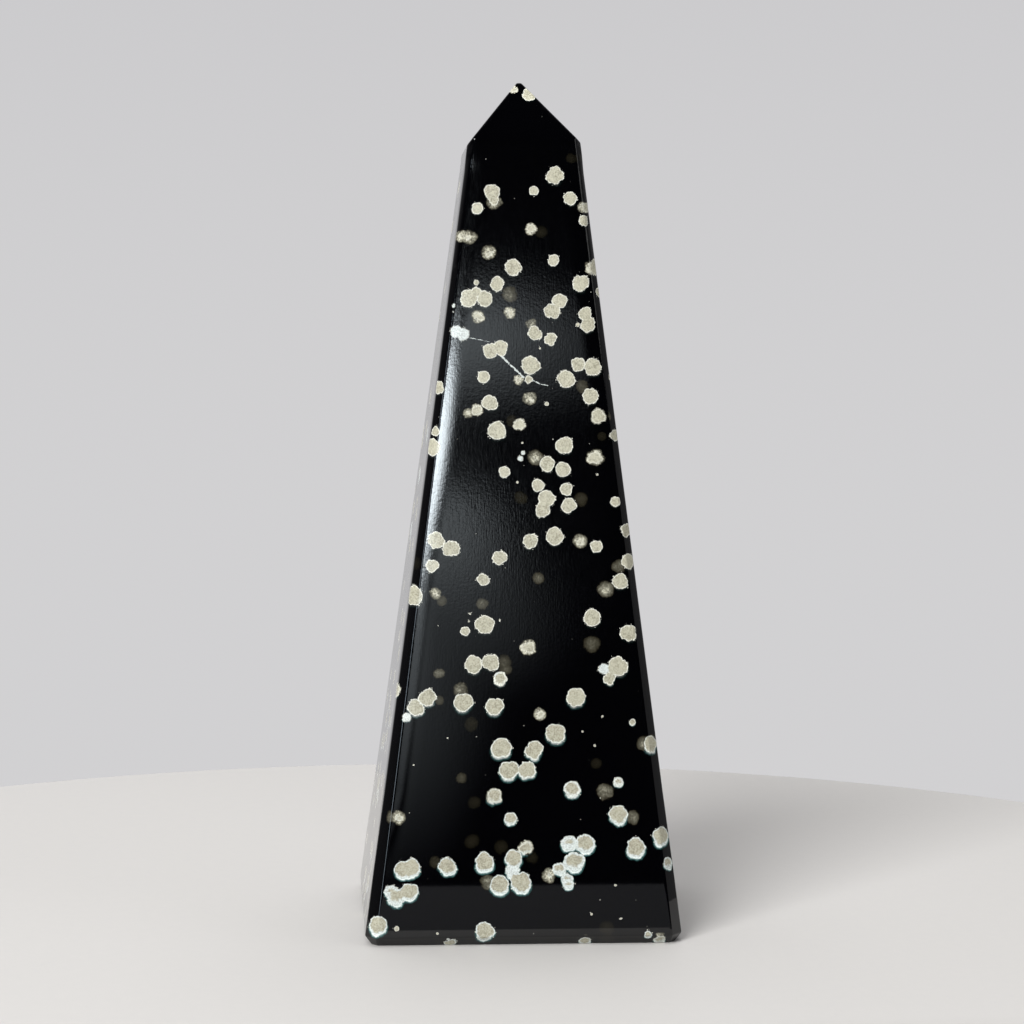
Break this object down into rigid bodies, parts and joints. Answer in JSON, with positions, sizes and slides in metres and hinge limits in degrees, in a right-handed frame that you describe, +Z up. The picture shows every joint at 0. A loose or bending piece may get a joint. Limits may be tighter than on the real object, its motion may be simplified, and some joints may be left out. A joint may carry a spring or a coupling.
{
  "type": "obsidian obelisk",
  "caption": "Slim free-standing polished stone obelisk: a tapered rectangular shaft with cut corners, a flat foot and a short pyramid point, as a desk ornament.",
  "frame": {"origin": "middle of the foot's resting face, on the surface the stone stands on", "axes": "+Z up along the shaft to the point; -Y is the front face's side; +X is on the right of somebody looking at the front face"},
  "size_m": [0.0372, 0.0306, 0.1],
  "materials": {
    "polished_obsidian": "high polish, black volcanic glass with cream-grey snowflake spots"
  },
  "bodies": {
    "root": {"obelisk": "polished_obsidian"}
  },
  "joints": []
}
